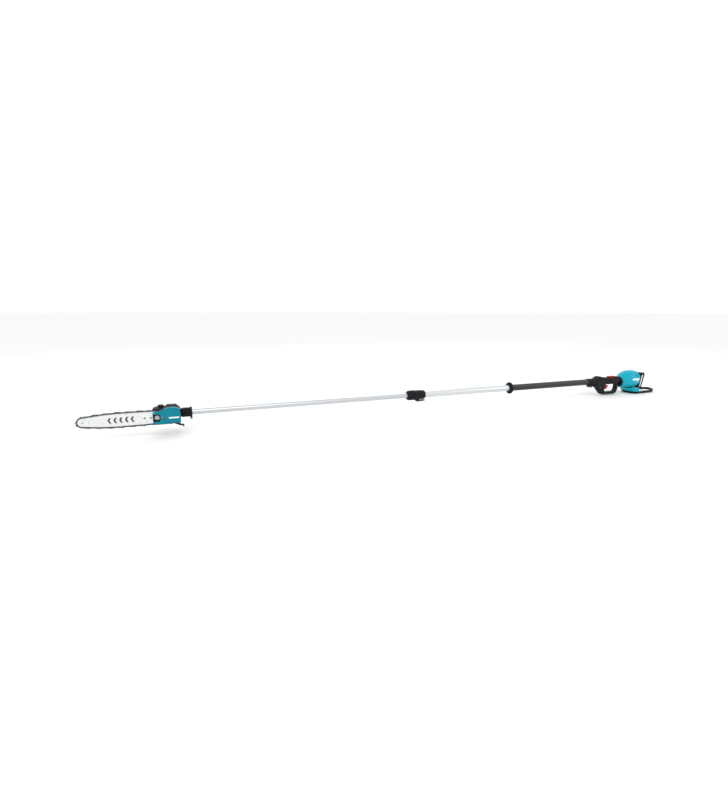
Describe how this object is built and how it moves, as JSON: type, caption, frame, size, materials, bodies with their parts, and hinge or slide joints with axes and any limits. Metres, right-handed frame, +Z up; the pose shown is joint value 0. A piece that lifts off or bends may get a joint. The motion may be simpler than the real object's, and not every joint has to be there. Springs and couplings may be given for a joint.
{
  "type": "telescoping pole saw",
  "caption": "Battery pole saw: chain saw head on a sliding aluminium pole, D-handle with trigger and lock-off, motor unit with battery rails and guard loop behind.",
  "frame": {"origin": "bottom centre of the box of the retracted saw, on the surface the base stands on", "axes": "+X along the pole from the saw head to the motor, +Z up, the bar and chain on the -Y side"},
  "size_m": [2.95, 0.103, 0.132],
  "materials": {
    "satin_aluminium": "satin anodised",
    "black_nylon": "moulded, fine spark texture",
    "black_rubber": "soft overmould",
    "teal_nylon": "moulded, half gloss",
    "red_nylon": "moulded, half gloss",
    "brown_nylon": "moulded",
    "white_acetal": "turned",
    "bar_steel": "ground and lacquered",
    "chain_steel": "blued and oiled",
    "zinc_steel": "zinc plated",
    "copper": "wound wire on laminations"
  },
  "bodies": {
    "base": {"outer_tube": "satin_aluminium", "grip_sleeve": "black_nylon", "hand_stop": "black_nylon", "clamp_body": "black_nylon", "clamp_lever_pin": "zinc_steel", "pole_holder": "black_nylon", "holder_bolt_1": "zinc_steel", "holder_bolt_2": "zinc_steel", "handle_left_half": "black_nylon", "handle_right_half": "black_nylon", "handle_screw_1": "zinc_steel", "handle_screw_2": "zinc_steel", "trigger_pin": "zinc_steel", "lock_off_pin": "zinc_steel", "trigger_switch": "black_nylon", "control_panel": "black_rubber", "housing_left_half": "teal_nylon", "housing_right_half": "teal_nylon", "intake_grille": "black_nylon", "lower_housing": "teal_nylon", "base_skid": "black_nylon", "base_screw": "zinc_steel", "rear_guard": "black_nylon", "motor_front_bell": "satin_aluminium", "motor_rear_plate": "satin_aluminium", "stator": "copper", "control_board": "satin_aluminium", "battery_mount": "black_nylon", "terminal_block": "black_rubber"},
    "clamp_lever_body": {"clamp_lever": "black_nylon"},
    "trigger_body": {"trigger": "red_nylon"},
    "lock_off_body": {"lock_off_lever": "red_nylon"},
    "button_body": {"power_button": "black_rubber"},
    "motor_rotor": {"rotor": "chain_steel", "cooling_fan": "black_nylon", "rear_shaft": "zinc_steel"},
    "inner_pole": {"inner_tube": "satin_aluminium", "inner_glide_bush": "white_acetal", "shaft_bushing": "white_acetal", "head_coupling": "black_nylon", "coupling_bolt": "zinc_steel", "gear_case": "black_nylon", "oil_tank": "black_nylon", "oil_pump": "white_acetal", "pinion_bearing": "zinc_steel", "shaft_bearing": "zinc_steel", "guide_bar": "bar_steel", "nose_rivet": "zinc_steel", "saw_chain": "chain_steel", "bar_stud": "zinc_steel", "bar_nut": "zinc_steel", "sprocket_cover": "teal_nylon", "branch_hook": "black_nylon"},
    "oil_cap_body": {"oil_cap": "brown_nylon"},
    "front_drive": {"front_shaft": "zinc_steel", "bevel_pinion": "chain_steel"},
    "sprocket_drive": {"bevel_gear_shaft": "chain_steel", "drive_sprocket": "chain_steel"},
    "nose_wheel": {"nose_sprocket": "chain_steel"},
    "tension_body": {"tension_screw": "zinc_steel"}
  },
  "joints": [
    {"name": "pole_extension", "type": "slide", "parent": "base", "child": "inner_pole", "axis": [-1, 0, 0], "range_m": [0, 1.15]},
    {"name": "clamp_lever_swing", "type": "hinge", "parent": "base", "child": "clamp_lever_body", "pos_m": [-0.088, 0, 0.053], "axis": [0, 1, 0], "range_deg": [0, 95]},
    {"name": "trigger_pull", "type": "hinge", "parent": "base", "child": "trigger_body", "pos_m": [1.098, 0, 0.0555], "axis": [0, -1, 0], "range_deg": [0, 12], "stiffness_Nm_per_rad": 0.3},
    {"name": "lock_off_press", "type": "hinge", "parent": "base", "child": "lock_off_body", "pos_m": [1.176, 0, 0.1], "axis": [0, -1, 0], "range_deg": [0, 3.5], "stiffness_Nm_per_rad": 0.3},
    {"name": "power_button_press", "type": "slide", "parent": "base", "child": "button_body", "axis": [0, 0, -1], "range_m": [0, 0.0008], "stiffness_N_per_m": 400},
    {"name": "motor_spin", "type": "hinge", "parent": "base", "child": "motor_rotor", "pos_m": [1.274, 0, 0.08], "axis": [1, 0, 0], "continuous": true},
    {"name": "front_drive_spin", "type": "hinge", "parent": "inner_pole", "child": "front_drive", "pos_m": [-1.1454, 0, 0.08], "axis": [1, 0, 0], "continuous": true},
    {"name": "sprocket_spin", "type": "hinge", "parent": "inner_pole", "child": "sprocket_drive", "pos_m": [-1.158, -0.024, 0.08], "axis": [0, 1, 0], "continuous": true},
    {"name": "nose_sprocket_spin", "type": "hinge", "parent": "inner_pole", "child": "nose_wheel", "pos_m": [-1.4515, -0.024, 0.074], "axis": [0, 1, 0], "continuous": true},
    {"name": "tension_screw_turn", "type": "hinge", "parent": "inner_pole", "child": "tension_body", "pos_m": [-1.1873, -0.027, 0.074], "axis": [0, 1, 0], "range_deg": [-360, 360]},
    {"name": "oil_cap_turn", "type": "hinge", "parent": "inner_pole", "child": "oil_cap_body", "pos_m": [-1.1925, 0.004, 0.1074], "axis": [0, 0, 1], "range_deg": [0, 270]}
  ],
  "couplings": [
    {"joint": "front_drive_spin", "follows": "motor_spin", "ratio": 1},
    {"joint": "sprocket_spin", "follows": "motor_spin", "ratio": 0.71429},
    {"joint": "nose_sprocket_spin", "follows": "motor_spin", "ratio": 0.47619}
  ]
}
